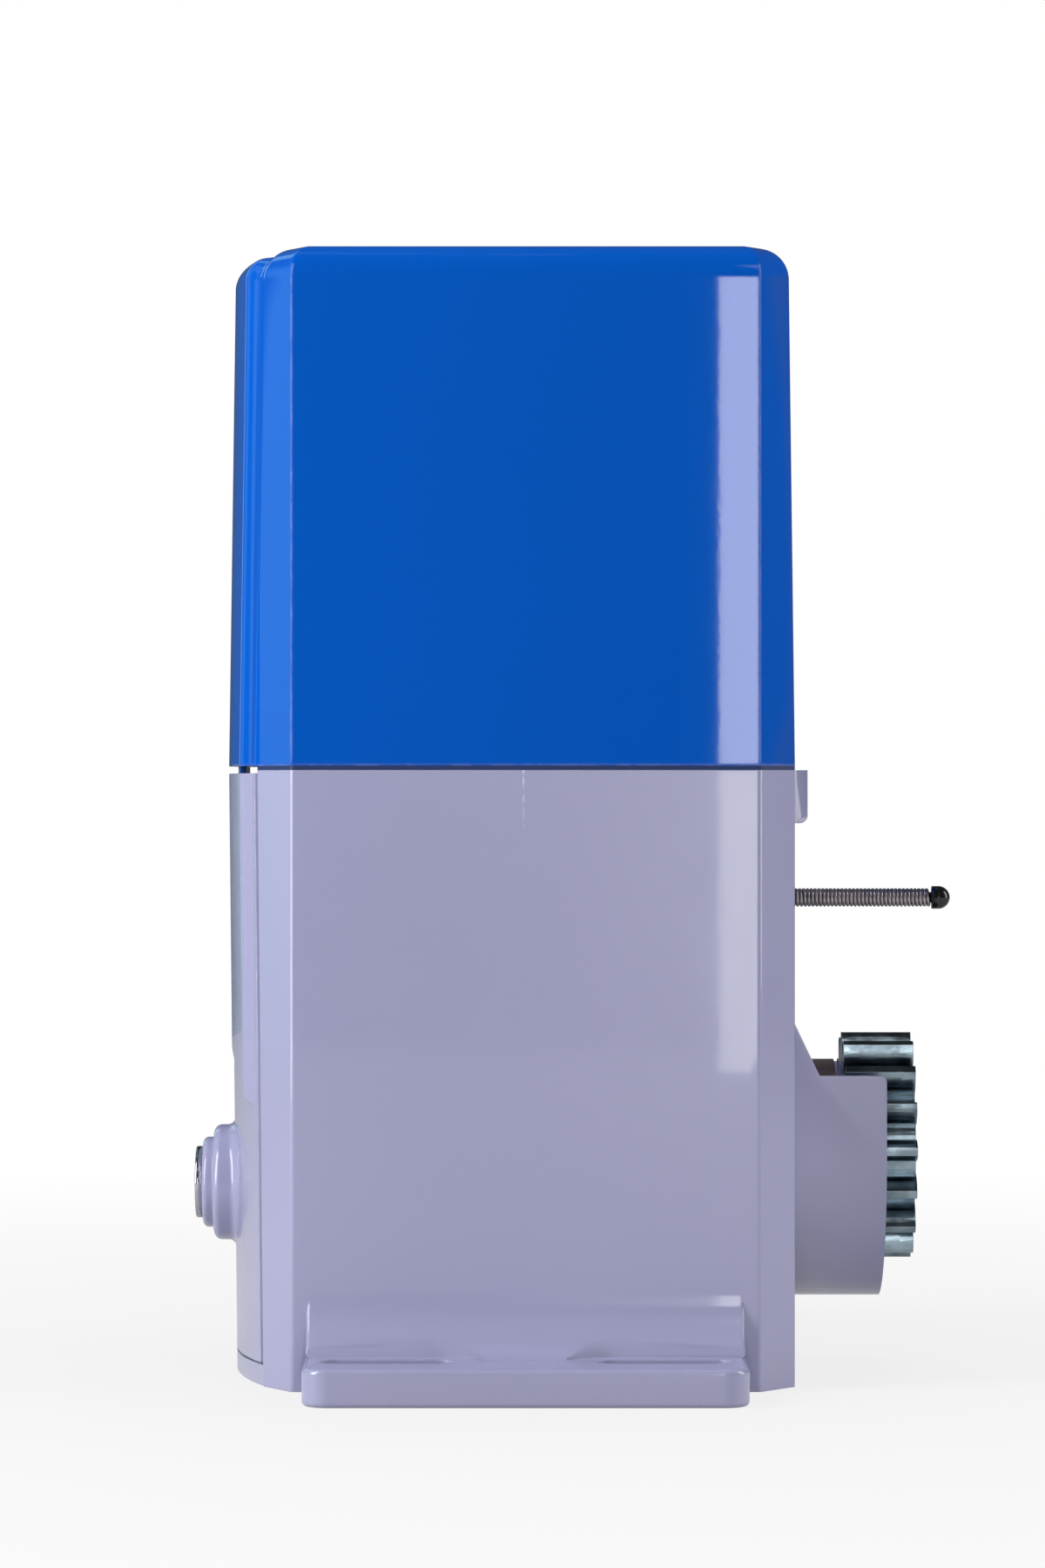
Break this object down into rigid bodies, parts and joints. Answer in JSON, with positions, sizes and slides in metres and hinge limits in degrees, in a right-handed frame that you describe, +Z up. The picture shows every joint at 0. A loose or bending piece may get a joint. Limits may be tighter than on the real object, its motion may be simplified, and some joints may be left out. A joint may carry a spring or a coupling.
{
  "type": "sliding gate motor",
  "caption": "Foot-mounted sliding gate motor with a lift-off cover, a locked release door, a spring limit lever and a guarded rack pinion driven by a worm gearbox.",
  "frame": {"origin": "centre of the four foundation slots, on the underside of the feet", "axes": "+X towards the gate and the rack, +Y away from the side in the picture, +Z up"},
  "size_m": [0.2417, 0.26, 0.353],
  "materials": {
    "body_paint": "glossy lavender-grey paint on die-cast aluminium",
    "cover_paint": "glossy blue with slight orange peel",
    "zinc_steel": "blue-passivated zinc plating, turned",
    "bright_steel": "ground and turned steel",
    "spring_steel": "close coiled spring wire",
    "dark_steel": "blackened steel",
    "lock_chrome": "polished chrome plating",
    "bronze": "machined bronze",
    "copper": "enamelled copper wire",
    "lamination": "stacked electrical sheet",
    "cast_aluminium": "as-cast and machined aluminium",
    "sheet_metal": "galvanised sheet",
    "black_rubber": "moulded rubber",
    "navy_rubber": "moulded gasket",
    "black_plastic": "moulded plastic",
    "cap_plastic": "moulded glossy cap",
    "red_plastic": "moulded release lever",
    "white_plastic": "moulded plastic",
    "green_board": "solder mask",
    "green_plastic": "moulded terminal body",
    "blue_plastic": "moulded relay case",
    "fuse_glass": "clear tube"
  },
  "bodies": {
    "base": {"body_casting": "body_paint", "output_bearing_front": "bright_steel", "output_bearing_rear": "bright_steel", "output_oil_seal": "black_rubber", "worm_bearing_lower": "bright_steel", "worm_bearing_upper": "bright_steel", "motor_bearing_top": "bright_steel", "gearbox_lid_gasket": "black_rubber", "gearbox_lid": "cast_aluminium", "gearbox_lid_screws": "dark_steel", "motor_stator": "lamination", "stator_windings": "copper", "motor_end_bell": "cast_aluminium", "motor_tie_bolts": "bright_steel", "limit_switch_body": "black_plastic", "limit_pivot_pin": "bright_steel", "cover_gasket": "navy_rubber", "door_hinge_pins": "bright_steel", "electronics_bracket": "sheet_metal", "bracket_screws": "bright_steel", "circuit_board": "green_board", "board_spacers": "white_plastic", "board_screws": "bright_steel", "terminal_blocks": "green_plastic", "relays": "blue_plastic", "board_fuse": "fuse_glass", "controller_chip": "black_plastic", "transformer_core": "lamination", "transformer_coil": "copper", "run_capacitor": "white_plastic", "capacitor_clip": "black_plastic"},
    "output": {"output_shaft": "bright_steel", "pinion": "zinc_steel", "pinion_key": "bright_steel", "pinion_washer": "zinc_steel", "pinion_bolt": "zinc_steel", "worm_wheel": "bronze"},
    "rotor": {"worm_shaft": "bright_steel", "rotor_core": "lamination", "cooling_fan": "black_plastic"},
    "clutch": {"clutch_sleeve": "dark_steel", "clutch_pin": "bright_steel", "clutch_rod": "bright_steel", "clutch_rod_nut": "bright_steel"},
    "release_lever": {"release_lever": "red_plastic"},
    "limit_lever": {"limit_lever_hub": "black_plastic", "limit_spring": "spring_steel", "limit_cap": "cap_plastic"},
    "cover": {"top_cover": "cover_paint"},
    "release_door": {"door_panel": "body_paint", "lock_cylinder": "lock_chrome", "lock_nut": "bright_steel"},
    "lock": {"lock_plug": "lock_chrome", "lock_cam": "bright_steel", "lock_cam_screw": "bright_steel"}
  },
  "joints": [
    {"name": "output_spin", "type": "hinge", "parent": "base", "child": "output", "pos_m": [0, -0.006, 0.0711], "axis": [1, 0, 0], "continuous": true},
    {"name": "motor_spin", "type": "hinge", "parent": "base", "child": "rotor", "pos_m": [0.024, 0.0362, 0], "axis": [0, 0, 1], "continuous": true},
    {"name": "clutch_slide", "type": "slide", "parent": "output", "child": "clutch", "axis": [-1, 0, 0], "range_m": [0, 0.0036]},
    {"name": "release_turn", "type": "hinge", "parent": "base", "child": "release_lever", "pos_m": [-0.03, -0.006, 0.0711], "axis": [1, 0, 0], "range_deg": [0, 90]},
    {"name": "limit_swing", "type": "hinge", "parent": "base", "child": "limit_lever", "pos_m": [0.07, -0.012, 0.1505], "axis": [0, 0, 1], "range_deg": [-30, 30], "stiffness_Nm_per_rad": 0.15},
    {"name": "cover_lift", "type": "slide", "parent": "base", "child": "cover", "axis": [0, 0, 1], "range_m": [0, 0.2]},
    {"name": "door_swing", "type": "hinge", "parent": "base", "child": "release_door", "pos_m": [-0.08552, 0.0675, -0.00004], "axis": [0.0105, 0, -0.9999], "range_deg": [0, 100]},
    {"name": "lock_turn", "type": "hinge", "parent": "release_door", "child": "lock", "pos_m": [-0.095, 0, 0.0587], "axis": [1, 0, 0], "range_deg": [0, 90]}
  ],
  "couplings": [
    {"joint": "motor_spin", "follows": "output_spin", "ratio": 32},
    {"joint": "clutch_slide", "follows": "release_turn", "m_per_rad": 0.00229}
  ]
}
